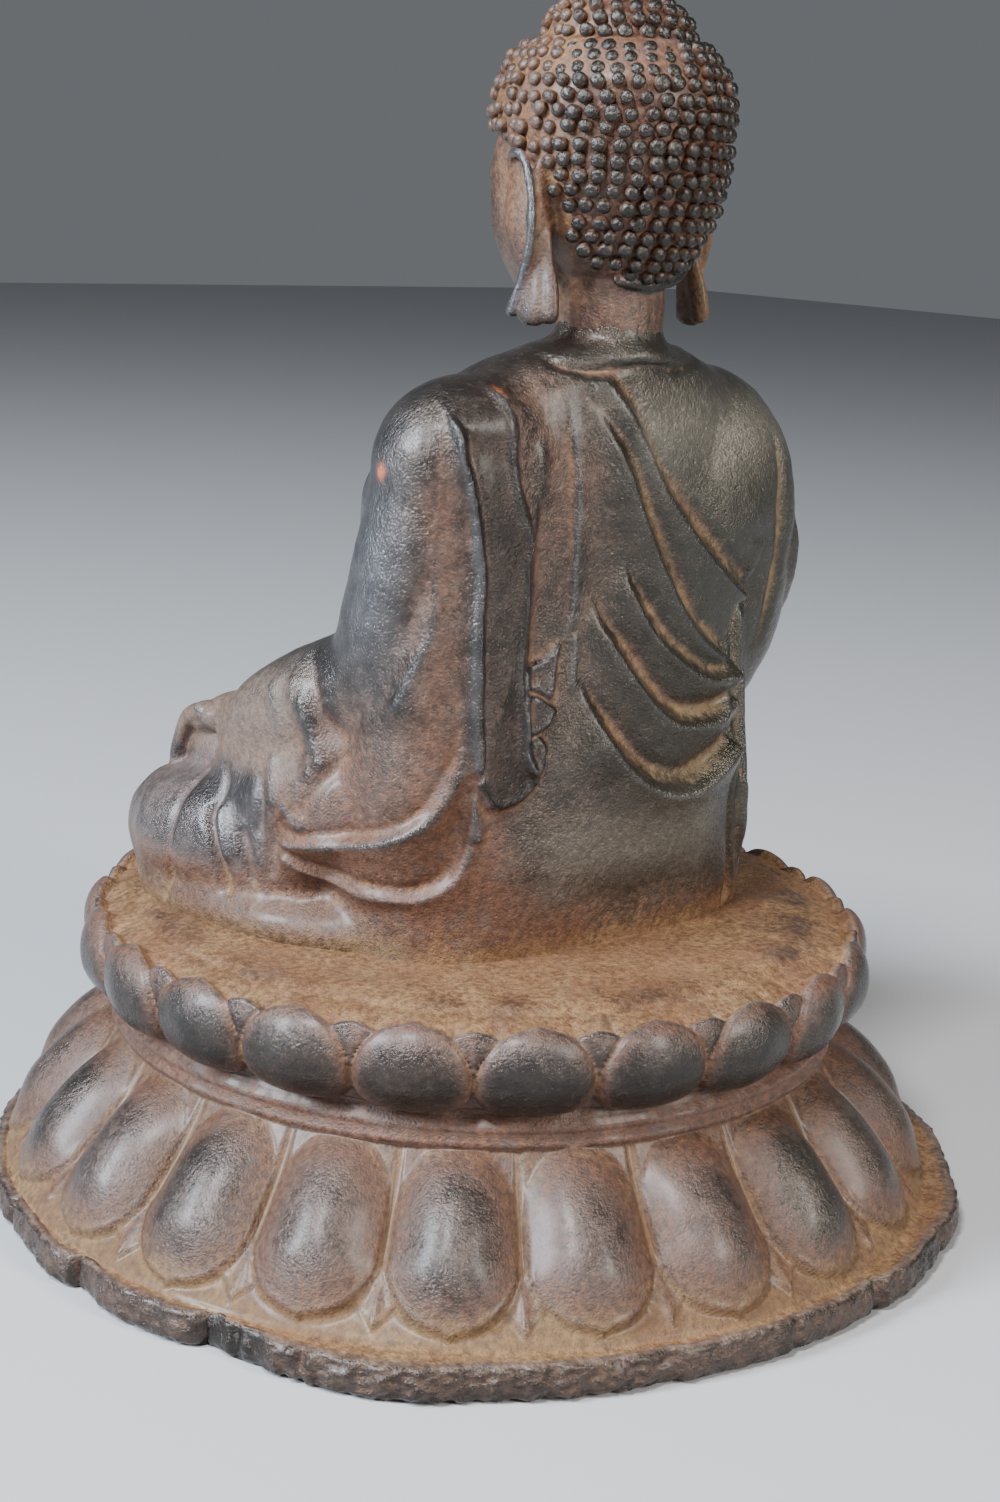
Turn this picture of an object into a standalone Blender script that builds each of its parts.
# Iron buddha figure seated on a double lotus throne, one casting, true size.
# Metres, +Z up. The origin is the centre of the underside. The figure looks along -Y.
import math

import bmesh
import bpy
import numpy as np
from mathutils import Matrix, Vector
from mathutils.bvhtree import BVHTree

# Sizes of the throne, in metres
PLATE_RADIUS = 0.098
PLATE_THICKNESS = 0.0065
PLATE_LEDGE = 0.0075
LOWER_LOTUS_HEIGHT = 0.027
LOWER_PETAL_RELIEF = 0.0052
WAIST_RADIUS = 0.0715
WAIST_BAND = 0.008
UPPER_LOTUS_HEIGHT = 0.016
UPPER_LOTUS_FLARE = 0.003
UPPER_PETAL_RELIEF = 0.005
PETAL_WALL = 0.0026
PETAL_COUNT = 22
SEAT_MARGIN = 0.0055
SEAT_STEP = 0.001

# Height of the figure above the seat, in metres
FIGURE_HEIGHT = 0.174

# The lotus rings and the seat sit a little off the middle of the foot plate
LOTUS_OFFSET = (0.0015, -0.0013)

# Heights that follow from the sizes above
WAIST_BOTTOM = PLATE_THICKNESS + LOWER_LOTUS_HEIGHT
WAIST_TOP = WAIST_BOTTOM + WAIST_BAND
PETAL_TIP = WAIST_TOP + UPPER_LOTUS_HEIGHT
SEAT_HEIGHT = PETAL_TIP + SEAT_STEP
SEAT_RADIUS = WAIST_RADIUS - SEAT_MARGIN

# The figure's forms are given in 174ths of its height, measured from the seat
PARTS = 174.0
UNIT = FIGURE_HEIGHT / PARTS
ROBE_AXIS_Y = 5.0

# Fineness of the faceted solid
COLUMNS_PER_PETAL = 14
VOXEL = FIGURE_HEIGHT / 160
THRONE_TRIANGLES = 3600
FIGURE_TRIANGLES = 4300

BACK = math.pi / 2


def clear_scene():
    for item in list(bpy.data.objects):
        bpy.data.objects.remove(item, do_unlink=True)


def cast_iron():
    material = bpy.data.materials.new("cast_iron")
    material.use_nodes = True
    shader = material.node_tree.nodes["Principled BSDF"]
    shader.inputs["Base Color"].default_value = (0.09, 0.06, 0.045, 1.0)
    shader.inputs["Roughness"].default_value = 0.45
    shader.inputs["Metallic"].default_value = 0.6
    return material


def new_object(name, bm):
    mesh = bpy.data.meshes.new(name)
    bmesh.ops.recalc_face_normals(bm, faces=bm.faces)
    bm.to_mesh(mesh)
    bm.free()
    item = bpy.data.objects.new(name, mesh)
    bpy.context.scene.collection.objects.link(item)
    return item


def apply_modifiers(item):
    graph = bpy.context.evaluated_depsgraph_get()
    mesh = bpy.data.meshes.new_from_object(item.evaluated_get(graph))
    item.modifiers.clear()
    item.data = mesh


def joined(name, items):
    # One object that holds several shapes, each still a closed body
    bm = bmesh.new()
    for item in items:
        bm.from_mesh(item.data)
        bpy.data.objects.remove(item, do_unlink=True)
    return new_object(name, bm)


def loft(rings):
    # Skin over a row of rings, closed at both ends
    bm = bmesh.new()
    rows = [[bm.verts.new(point) for point in ring] for ring in rings]
    count = len(rings[0])
    for low, high in zip(rows, rows[1:]):
        for i in range(count):
            j = (i + 1) % count
            bm.faces.new((low[i], low[j], high[j], high[i]))
    bm.faces.new(rows[0])
    bm.faces.new(rows[-1])
    return bm


def smooth_path(points, steps):
    # Catmull-Rom curve through a few rows of numbers
    rows = [np.array(point, dtype=float) for point in points]
    rows = [2 * rows[0] - rows[1]] + rows + [2 * rows[-1] - rows[-2]]
    path = []
    for a, b, c, d in zip(rows, rows[1:], rows[2:], rows[3:]):
        for step in range(steps):
            t = step / steps
            bend = (c - a) * t + (2 * a - 5 * b + 4 * c - d) * t * t + (3 * b - a - 3 * c + d) * t ** 3
            path.append(b + 0.5 * bend)
    path.append(rows[-2])
    return path


# The lotus throne

def across_petal(angle, stagger):
    # Place across a petal, from -0.5 to 0.5, with 0 on its middle line
    turns = (angle - BACK) / (2 * math.pi) * PETAL_COUNT + stagger
    return turns - round(turns)


def angle_gap(angle, degrees):
    return (math.degrees(angle) - degrees + 180) % 360 - 180


def plate_edge(angle):
    # The rim of the foot plate is a little out of round, with nicks in it
    share = 1 + 0.004 * math.sin(9 * angle + 0.6) + 0.003 * math.sin(17 * angle + 2.0)
    share += 0.024 * math.exp(-(angle_gap(angle, 40) / 15) ** 2)
    share -= 0.022 * math.exp(-(angle_gap(angle, 86) / 12) ** 2)
    for degrees, depth, width in ((4, 0.012, 3), (22, 0.018, 2.5), (98, 0.010, 4), (196, 0.012, 5), (287, 0.010, 4)):
        share -= depth * math.exp(-(angle_gap(angle, degrees) / width) ** 2)
    return PLATE_RADIUS * share


def petal_width(v):
    # Half width of a petal as a share of the pitch, from its root (0) to its pointed tip (1)
    if v < 0.45:
        return 0.47 * math.sqrt(max(0.0, 1 - ((0.45 - v) / 0.50) ** 2))
    return 0.47 * max(0.0, 1 - ((v - 0.45) / 0.55) ** 1.9) ** 0.8


def pad(u, v, width, middle, relief):
    # Height of a swelling pad inside a petal's outline
    if width < 0.001 or abs(u) >= width or v <= 0 or v >= 1:
        return 0.0
    across = (1 - (u / width) ** 2) ** 0.62
    reach = middle if v < middle else 1 - middle
    along = (1 - ((v - middle) / reach) ** 2) ** 0.62
    return relief * across * along


def lower_relief(angle, v):
    # A long domed petal on a flat margin, and a hidden petal's tip between two of them
    u = across_petal(angle, 0.5)
    width = petal_width(v)
    if abs(u) < width:
        margin = LOWER_PETAL_RELIEF * 0.2 * min(1.0, (width - abs(u)) / 0.04)
        return margin + pad(u, v / 0.92, width * 0.82, 0.47, LOWER_PETAL_RELIEF)
    return pad(0.5 - abs(u), (v - 0.55) / 0.5, 0.15, 0.55, LOWER_PETAL_RELIEF * 0.25)


def upper_rim(u):
    # How far up the crown of tips reaches at a place across a petal
    main = 0.0
    if abs(u) < 0.47:
        main = 0.45 + 0.55 * (1 - (abs(u) / 0.47) ** 1.25) ** 0.53
    return max(main, 0.93 - 0.75 * (0.5 - abs(u)))


def upper_relief(angle, w):
    # A fat petal with a pointed tip, and a smaller one set back between two of them
    u = across_petal(angle, 0.0)
    width = petal_width(w)
    if abs(u) < width:
        return UPPER_PETAL_RELIEF * 0.12 + pad(u, w, width, 0.42, UPPER_PETAL_RELIEF)
    return pad(0.5 - abs(u), w, 0.22, 0.75, UPPER_PETAL_RELIEF * 0.32) - UPPER_PETAL_RELIEF * 0.28


def plate_section(angle):
    edge = plate_edge(angle)
    lip = PLATE_THICKNESS / 3
    return [(edge - lip, 0.0), (edge, lip / 2), (edge, PLATE_THICKNESS * 0.7), (edge - lip / 2, PLATE_THICKNESS)]


def lower_section(angle, rows=13):
    root = (WAIST_RADIUS, WAIST_BOTTOM)
    foot = (PLATE_RADIUS - PLATE_LEDGE, PLATE_THICKNESS)
    length = math.dist(root, foot)
    out_radius = (root[1] - foot[1]) / length
    out_height = (foot[0] - root[0]) / length
    sag = LOWER_LOTUS_HEIGHT * 0.06
    section = []
    for row in range(rows + 1):
        v = 1 - row / rows
        radius = root[0] + (foot[0] - root[0]) * v - sag * math.sin(math.pi * v)
        height = root[1] + (foot[1] - root[1]) * v
        relief = lower_relief(angle, v)
        section.append((radius + out_radius * relief, height + out_height * relief))
    return section


def waist_section():
    shares = ((0.016, 0.15), (0.014, 0.45), (-0.006, 0.6), (-0.008, 0.9))
    return [(WAIST_RADIUS * (1 + out), WAIST_BOTTOM + WAIST_BAND * up) for out, up in shares]


def upper_section(angle, rows=12):
    section = []
    top = upper_rim(across_petal(angle, 0.0))
    for row in range(rows + 1):
        w = top * row / rows
        radius = WAIST_RADIUS + UPPER_LOTUS_FLARE * math.sin(math.pi * w * 0.62)
        relief = upper_relief(angle, w)
        tilt = math.radians(-18 + 36 * w)
        height = WAIST_TOP + UPPER_LOTUS_HEIGHT * w
        section.append((radius + math.cos(tilt) * relief, height + math.sin(tilt) * relief))
    rim_radius, rim_height = section[-1]
    trough = SEAT_HEIGHT - UPPER_LOTUS_HEIGHT * 0.28
    section.append((rim_radius - PETAL_WALL * 0.7, rim_height))
    section.append((rim_radius - PETAL_WALL * 1.3, max(trough, rim_height - PETAL_WALL) + SEAT_STEP * 0.3))
    section.append((SEAT_RADIUS + SEAT_MARGIN * 0.5, trough))
    section.append((SEAT_RADIUS + SEAT_MARGIN * 0.15, trough + (SEAT_HEIGHT - trough) * 0.35))
    section.append((SEAT_RADIUS, SEAT_HEIGHT - (SEAT_HEIGHT - trough) * 0.25))
    section.append((SEAT_RADIUS * 0.975, SEAT_HEIGHT))
    section.append((SEAT_RADIUS * 0.5, SEAT_HEIGHT))
    return section


def throne():
    columns = PETAL_COUNT * COLUMNS_PER_PETAL
    angles = [BACK + 2 * math.pi * i / columns for i in range(columns)]
    below = [plate_section(angle) for angle in angles]
    above = [lower_section(angle) + waist_section() + upper_section(angle) for angle in angles]
    rings = []
    for sections, offset in ((below, (0, 0)), (above, LOTUS_OFFSET)):
        for row in range(len(sections[0])):
            rings.append([
                (section[row][0] * math.cos(angle) + offset[0], section[row][0] * math.sin(angle) + offset[1],
                 section[row][1])
                for angle, section in zip(angles, sections)
            ])
    return new_object("throne", loft(rings))


# The figure's forms, with places and sizes in 174ths of its height

def place(x, y, z):
    return Vector((x * UNIT, y * UNIT, SEAT_HEIGHT + z * UNIT))


def ellipsoid(centre, radii, segments=32):
    bm = bmesh.new()
    stretch = Matrix.Diagonal([radius * UNIT for radius in radii] + [1])
    matrix = Matrix.Translation(place(*centre)) @ stretch
    bmesh.ops.create_uvsphere(bm, u_segments=segments, v_segments=segments // 2, radius=1, matrix=matrix)
    return new_object("form", bm)


def rounded_end(end, before):
    # Rows past the end of a path that close a limb with a round tip
    along = end[:3] - before[:3]
    along = along / np.linalg.norm(along)
    rows = []
    for degrees in (25, 50, 72):
        turn = math.radians(degrees)
        row = end.copy()
        row[:3] += along * min(end[3], end[4]) * math.sin(turn)
        row[3:] *= math.cos(turn)
        rows.append(row)
    return rows


def limb(points, sides=20, steps=6):
    # Round limb through rows of x, y, z, half width, half depth; its width starts level
    path = smooth_path(points, steps)
    path = rounded_end(path[0], path[1])[::-1] + path + rounded_end(path[-1], path[-2])
    first = Vector(path[1][:3] - path[0][:3])
    side = Vector((1, 0, 0)) if abs(first.z) > first.length * 0.7 else first.cross(Vector((0, 0, 1)))
    rings = []
    for i, here in enumerate(path):
        before = path[max(0, i - 1)]
        after = path[min(len(path) - 1, i + 1)]
        along = Vector(after[:3] - before[:3]).normalized()
        side = (side - along * side.dot(along)).normalized()
        lift = side.cross(along)
        turns = [2 * math.pi * k / sides for k in range(sides)]
        ring = [Vector(here[:3]) + side * here[3] * math.cos(t) + lift * here[4] * math.sin(t) for t in turns]
        rings.append([place(*point) for point in ring])
    return new_object("form", loft(rings))


def level_ring(level, sides):
    # Ring from one row of height, middle x, half width, back y, front y, squareness
    height, middle, half, back, front, square = level
    ring = []
    for k in range(sides):
        turn = 2 * math.pi * k / sides
        c = math.cos(turn)
        s = math.sin(turn)
        x = middle + math.copysign(abs(c) ** (2 / square), c) * half
        y = (back + front) / 2 + math.copysign(abs(s) ** (2 / square), s) * (back - front) / 2
        ring.append(place(x, y, height))
    return ring


def stacked(levels, sides=48, steps=4):
    return new_object("form", loft([level_ring(level, sides) for level in smooth_path(levels, steps)]))


def both_sides(points, build):
    # The same form on the figure's left and right
    left = build([tuple(point) for point in points])
    right = build([(-point[0],) + tuple(point[1:]) for point in points])
    return [left, right]


def torso():
    robe = stacked([
        (-4, -2.5, 47.5, 35.0, -34, 3.3),
        (6, -2.5, 47, 36.5, -30, 3.3),
        (20, -1.5, 45.5, 38.5, -22, 3.0),
        (38, -0.5, 43.0, 38.5, -12, 2.8),
        (56, 0, 42, 37.5, -7, 2.6),
        (74, 0, 42, 37.5, -5, 2.5),
        (90, 0, 42, 38.0, -2, 2.4),
        (100, 0, 37, 38.0, 3, 2.2),
        (107, 0, 28, 37.0, 9, 2.1),
        (112, 0, 15, 36.0, 15, 2.0),
    ])
    neck = limb([(0, 25.5, 104, 12, 12), (0, 26.5, 114, 9.8, 9.8), (0, 26, 126, 10, 10), (0, 24, 134, 11, 11)])
    collar = limb([(-11, 33, 109, 2.2, 2.0), (0, 37.5, 110.5, 2.2, 2.0), (11, 33, 109, 2.2, 2.0)])
    shoulders = [ellipsoid((side * 31, 24, 91), (17, 15, 16)) for side in (1, -1)]
    return [robe, neck, collar] + shoulders


def arms():
    upper_left = [(33, 24, 88, 14, 14), (35, 22, 76, 14, 14), (36.5, 18, 62, 13, 13), (37, 14, 52, 12, 12)]
    upper_right = [(-33, 24, 88, 15, 14), (-37.5, 22, 76, 14.5, 14), (-42.5, 17, 57, 13, 13), (-43, 14, 47, 11.5, 11)]
    fore = [(38, 12, 50, 11, 11), (40, -2, 43, 12, 12), (42.5, -16, 38, 10.5, 9.5), (43.5, -22, 37, 8, 6)]
    return [limb(upper_left), limb(upper_right)] + both_sides(fore, limb)


def sleeves():
    # Wide sleeve hanging from each forearm on to the thigh, and the left one's tail behind the hip
    hanging = [(38, 6, 38, 12, 13), (41, -6, 31, 11, 15), (44, -16, 27, 9.5, 12)]
    tail = [(35, 24, 62, 11, 12), (37, 22, 46, 10.5, 13), (38, 17, 28, 10, 15), (38, 13, 18, 8.5, 15)]
    return both_sides(hanging, limb) + [limb(tail)]


def legs():
    thigh = [(22, 8, 12, 19, 16), (34, -12, 13, 18, 16), (43, -30, 13, 16, 15), (46, -39, 12, 13, 13)]
    left_shin = [(47, -37, 11, 12, 13), (34, -46, 9, 12, 12), (12, -49, 8, 11, 11), (-14, -48, 8, 11, 10)]
    right_shin = [(-47, -37, 12, 13, 14), (-34, -49, 12, 12, 12), (-10, -54, 12, 10, 11), (12, -54, 11, 9, 8)]
    lap = ellipsoid((0, -30, 6), (42, 28, 14))
    return both_sides(thigh, limb) + [limb(left_shin), limb(right_shin), lap]


def hand(side):
    # Hand lying palm down over the knee, fingers together
    items = [limb([(side * 43.5, -18, 37, 5.5, 4), (side * 44, -25, 37.5, 6.6, 4.2), (side * 44, -32, 34.5, 6.2, 3.6)])]
    for k, reach in enumerate((1.5, 3.0, 2.4, 0.4)):
        x = side * (39.2 + 3.3 * k)
        items.append(limb([
            (x, -29, 37.5, 2.0, 2.0),
            (x, -35 - reach * 0.4, 34.5, 1.9, 1.9),
            (x, -39 - reach * 0.3, 28 - reach, 1.7, 1.7),
            (x, -40 - reach * 0.3, 22 - reach, 1.5, 1.5),
        ], sides=10))
    thumb = [(side * 38, -22, 37, 2.4, 2.2), (side * 34.8, -29, 34, 2.1, 2.0), (side * 34.5, -35, 28, 1.8, 1.7)]
    items.append(limb(thumb, sides=10))
    items.append(ellipsoid((side * 44, -30, 28), (9.5, 8, 8)))
    return items


# The head

SKULL = [
    (122, 0, 8.5, 34.5, 17, 2.0),
    (125, 0, 12.0, 38.0, 16, 2.1),
    (131, 0, 15.6, 41.6, 15, 2.1),
    (140, 0, 18.8, 44.8, 12, 2.1),
    (149, 0, 20.2, 46.4, 1.5, 2.1),
    (157, 0, 19.8, 46.0, 1.5, 2.1),
    (163, 0, 16.5, 42.5, 5.0, 2.0),
    (165.5, 0, 13.0, 38.5, 9.0, 2.0),
]
CROWN = [
    (162, 0, 13.2, 38.0, 10.5, 2.0),
    (166, 0, 13.4, 38.0, 10.5, 2.0),
    (170, 0, 11.5, 35.5, 12.5, 2.0),
    (173, 0, 6.0, 30.0, 18.0, 2.0),
]


def face():
    items = [
        ellipsoid((0, 17.5, 138), (15.6, 17.0, 17.5)),
        ellipsoid((0, 11.0, 126), (8.2, 9.0, 7.0)),
        limb([(0, 1.8, 143, 1.6, 1.6), (0, 0.2, 138, 1.8, 1.8), (0, -1.2, 133.8, 2.4, 2.0)], sides=12),
        ellipsoid((0, 1.4, 128.5), (4.6, 2.0, 1.2)),
        ellipsoid((0, 1.7, 126.4), (3.8, 2.0, 1.3)),
        ellipsoid((0, 3.6, 121.8), (4.0, 3.4, 2.6)),
    ]
    for side in (1, -1):
        items.append(ellipsoid((side * 7.5, 9.5, 131.5), (7.0, 8.5, 8.5)))
        items.append(ellipsoid((side * 2.2, 0.4, 132.8), (1.8, 2.0, 1.6)))
        items.append(ellipsoid((side * 6.4, 2.9, 138.6), (4.2, 2.6, 2.2)))
        items.append(limb([
            (side * 1.6, 0.9, 142.2, 0.8, 0.9),
            (side * 6.6, 1.2, 144.8, 0.8, 0.9),
            (side * 12.0, 5.2, 141.6, 0.7, 0.8),
        ], sides=8))
    return items


def ear(side):
    helix = limb([
        (side * 15.5, 17.8, 139, 1.2, 1.3),
        (side * 18.0, 18.6, 145, 1.2, 1.3),
        (side * 20.6, 22.8, 146.4, 1.3, 1.3),
        (side * 21.6, 27.0, 141, 1.3, 1.3),
        (side * 21.2, 27.4, 130, 1.3, 1.3),
        (side * 20.6, 26.4, 119, 1.6, 1.6),
    ], sides=10)
    return [
        helix,
        ellipsoid((side * 17.8, 22.5, 136), (2.4, 4.2, 11)),
        ellipsoid((side * 19.2, 22.8, 121.5), (2.4, 4.2, 6.5)),
    ]


def under_curls(levels):
    # The scalp, a little inside the shells of curls
    return [(z, x, half - 1.5, back - 1.5, front + 1.5, square) for z, x, half, back, front, square in levels]


def head():
    return [stacked(under_curls(SKULL)), stacked(under_curls(CROWN))] + face() + ear(1) + ear(-1)


def hair_rows(levels, rows, columns, knob):
    # Band of curls: a shell whose every cell is raised to a knob
    path = smooth_path(levels, 24)
    lengths = [0.0]
    for a, b in zip(path, path[1:]):
        lengths.append(lengths[-1] + math.hypot(b[0] - a[0], (b[2] - a[2] + (b[3] - a[3] - b[4] + a[4]) / 2) / 2))
    rings = []
    for row in range(rows + 1):
        goal = lengths[-1] * row / rows
        index = min(range(len(lengths)), key=lambda i: abs(lengths[i] - goal))
        rings.append(level_ring(path[index], columns))
    bm = loft(rings)
    bmesh.ops.recalc_face_normals(bm, faces=bm.faces)
    cells = [cell for cell in bm.faces if len(cell.verts) == 4]
    bmesh.ops.poke(bm, faces=cells, offset=knob * UNIT)
    return new_object("curls", bm)


def curls():
    return [
        hair_rows(SKULL[0:3], 3, 20, 1.4),
        hair_rows(SKULL[2:6], 6, 28, 1.4),
        hair_rows(SKULL[5:8], 3, 22, 1.4),
        hair_rows(CROWN, 3, 16, 1.4),
    ]


# Carving of the robe

class Surface:
    # Reads places on a mesh by angle round the robe's axis and height above the seat
    def __init__(self, item):
        count = len(item.data.vertices)
        self.mesh = item.data
        self.points = np.empty(count * 3)
        self.normals = np.empty(count * 3)
        item.data.vertices.foreach_get("co", self.points)
        item.data.vertices.foreach_get("normal", self.normals)
        self.points = self.points.reshape(-1, 3)
        self.normals = self.normals.reshape(-1, 3)
        bm = bmesh.new()
        bm.from_mesh(item.data)
        self.tree = BVHTree.FromBMesh(bm)
        bm.free()
        self.lift = np.zeros(count)

    def hit(self, degrees, height):
        # Angle 0 is straight behind, and grows towards the figure's left
        turn = math.radians(degrees)
        out = Vector((math.sin(turn), math.cos(turn), 0))
        axis = place(0, ROBE_AXIS_Y, height)
        point = self.tree.ray_cast(axis + out * 120 * UNIT, -out)[0]
        return np.array(point if point is not None else axis)

    def hit_front(self, x, height):
        # Place seen straight from the front
        point = self.tree.ray_cast(place(x, -PARTS, height), Vector((0, 1, 0)))[0]
        return np.array(point if point is not None else place(x, 0, height))

    def carve(self, find, route, depth, left, right, fade=0.2):
        # Ridge along a route of points, falling off over its left and right widths
        path = np.array([find(*point) for point in smooth_path(route, 6)])
        reach = 2.4 * max(left, right) * UNIT
        low = path.min(axis=0) - reach
        high = path.max(axis=0) + reach
        near = np.flatnonzero(np.all((self.points > low) & (self.points < high), axis=1))
        spots = self.points[near]
        best = np.full(len(near), 1e9)
        offset = np.zeros(len(near))
        along = np.zeros(len(near))
        steps = len(path) - 1
        for i in range(steps):
            run = path[i + 1] - path[i]
            size = max(run @ run, 1e-12)
            share = np.clip((spots - path[i]) @ run / size, 0, 1)
            away = spots - path[i] - share[:, None] * run
            gap = np.einsum("ij,ij->i", away, away)
            hand_side = np.einsum("ij,ij->i", np.cross(run, away), self.normals[near])
            closer = gap < best
            best[closer] = gap[closer]
            offset[closer] = np.sign(hand_side[closer])
            along[closer] = (i + share[closer]) / steps
        distance = np.sqrt(best) / UNIT
        width = np.where(offset > 0, left, right)
        ends = np.clip(np.minimum(along, 1 - along) / fade, 0, 1) if fade > 0 else 1.0
        self.lift[near] += depth * UNIT * np.exp(-(distance / width) ** 2) * np.sqrt(ends)

    def finish(self):
        self.points += self.normals * self.lift[:, None]
        self.mesh.vertices.foreach_set("co", self.points.ravel())
        self.mesh.update()


# Routes over the robe: angle and height points, depth, width to the left and to the right

BACK_FOLDS = [
    ([(17, 106), (4, 94), (-11, 84), (-30, 72), (-51, 64)], 1.7, 1.2, 3.2),
    ([(24, 103), (13, 91), (0, 76), (-14, 65), (-27, 58), (-44, 51)], 1.7, 1.2, 3.2),
    ([(11, 75), (-1, 63), (-13, 53), (-30, 48), (-46, 49)], 1.5, 1.2, 2.6),
    ([(19, 69), (9, 54), (-8, 44), (-27, 41), (-45, 44)], 1.7, 1.2, 2.8),
    ([(23, 58), (16, 43), (0, 32), (-20, 28), (-47, 35)], 1.8, 1.2, 3.0),
    ([(-49, 65), (-52, 52), (-50, 35), (-52, 20), (-54, 2)], 1.6, 3.4, 1.2),
]
SHOULDER_STRIP = [
    ([(56, 99), (51, 88), (50, 69), (49, 50), (50, 38)], 1.8, 1.0, 4.5),
    ([(47, 103), (42, 95), (41, 80), (40, 61), (38, 45), (33, 36)], 1.7, 4.5, 1.0),
    ([(50, 38), (44, 31), (38, 29), (33, 32), (30, 41)], 1.8, 1.0, 3.5),
    ([(39, 62), (33, 58), (39, 54)], 1.4, 1.2, 1.2),
    ([(39, 53), (31, 49), (38, 45)], 1.4, 1.2, 1.2),
]
SLEEVE_FOLDS = [
    ([(57, 76), (58, 65), (65, 50)], 1.2, 1.6, 3.0),
    ([(50, 53), (53, 38), (62, 27), (75, 24), (92, 20)], 1.8, 1.2, 3.2),
    ([(49, 34), (50, 20), (60, 15), (74, 17), (92, 18)], 2.0, 1.0, 4.0),
    ([(96, 54), (82, 42), (84, 28), (92, 20)], 1.1, 1.8, 1.8),
    ([(131, 26), (118, 18), (120, 2)], -1.1, 1.4, 1.4),
    ([(106, 24), (106, 8)], -1.1, 1.6, 1.6),
]
RIGHT_SLEEVE_FOLDS = [
    ([(-60, 80), (-66, 66), (-76, 54)], 1.4, 3.0, 1.4),
    ([(-78, 78), (-84, 64), (-92, 54)], 1.2, 2.6, 1.4),
    ([(-66, 36), (-78, 28), (-92, 22)], 1.6, 3.0, 1.4),
    ([(-70, 24), (-82, 17), (-96, 14)], 1.5, 3.0, 1.4),
]
COLLAR_FOLDS = [
    ([(36, 110), (20, 107.5), (0, 108), (-20, 107)], -0.9, 1.0, 1.0),
]

# Routes seen from the front: place across and height

CHEST_FOLDS = [
    ([(0, 106), (0, 92), (-1, 76), (-2, 66)], -2.2, 9.0, 9.0),
    ([(-11, 109), (-16, 98), (-15, 84), (-11, 70), (-8, 58)], 2.2, 1.3, 3.6),
    ([(11, 109), (15, 98), (11, 84), (1, 70), (-14, 57), (-28, 48)], 2.4, 4.5, 1.3),
    ([(26, 103), (24, 86), (14, 68), (-3, 53), (-26, 43)], 1.9, 3.8, 1.3),
    ([(36, 92), (34, 76), (25, 60), (8, 46), (-18, 37)], 1.7, 3.6, 1.3),
    ([(38, 74), (34, 58), (22, 44), (6, 36)], 1.5, 3.0, 1.3),
    ([(-28, 102), (-29, 86), (-25, 70), (-22, 58)], 1.7, 1.3, 3.4),
    ([(-9, 70), (-2, 67), (3, 69)], 1.3, 1.2, 1.6),
]
LAP_FOLDS = [
    ([(-38, 20), (-22, 15), (0, 13), (22, 14), (38, 19)], 1.7, 1.3, 3.0),
    ([(-40, 12), (-20, 7), (2, 6), (24, 8), (40, 12)], 1.7, 1.3, 3.0),
    ([(-30, 3), (-10, 1), (12, 1), (32, 3)], 1.5, 1.3, 2.4),
]


def carve_robe(item):
    surface = Surface(item)
    for group in (BACK_FOLDS, SHOULDER_STRIP, SLEEVE_FOLDS, RIGHT_SLEEVE_FOLDS, COLLAR_FOLDS):
        for route, depth, left, right in group:
            surface.carve(surface.hit, route, depth, left, right)
    for group in (CHEST_FOLDS, LAP_FOLDS):
        for route, depth, left, right in group:
            surface.carve(surface.hit_front, route, depth, left, right)
    surface.finish()


def build_figure():
    items = torso() + arms() + sleeves() + legs() + hand(1) + hand(-1) + head()
    figure = joined("figure", items)
    remesh = figure.modifiers.new("Remesh", "REMESH")
    remesh.mode = "VOXEL"
    remesh.voxel_size = VOXEL
    smooth = figure.modifiers.new("Smooth", "SMOOTH")
    smooth.factor = 0.5
    smooth.iterations = 4
    apply_modifiers(figure)
    carve_robe(figure)
    return figure


def faceted(item, triangles):
    # Fewer, larger facets, with the underside kept on the ground
    item.data.calc_loop_triangles()
    reduce = item.modifiers.new("Decimate", "DECIMATE")
    reduce.ratio = triangles / len(item.data.loop_triangles)
    apply_modifiers(item)
    return item


def united(name, first, others):
    for other in others:
        union = first.modifiers.new("Union", "BOOLEAN")
        union.operation = "UNION"
        union.object = other
        other.hide_render = True
        other.display_type = "WIRE"
    apply_modifiers(first)
    for other in others:
        bpy.data.objects.remove(other, do_unlink=True)
    first.name = name
    return first


def main():
    clear_scene()
    base = faceted(throne(), THRONE_TRIANGLES)
    for vertex in base.data.vertices:
        if vertex.co.z < PLATE_THICKNESS * 0.05:
            vertex.co.z = 0.0
    figure = faceted(build_figure(), FIGURE_TRIANGLES)
    whole = united("iron_buddha", base, [figure] + curls())
    whole.data.materials.clear()
    whole.data.materials.append(cast_iron())


main()
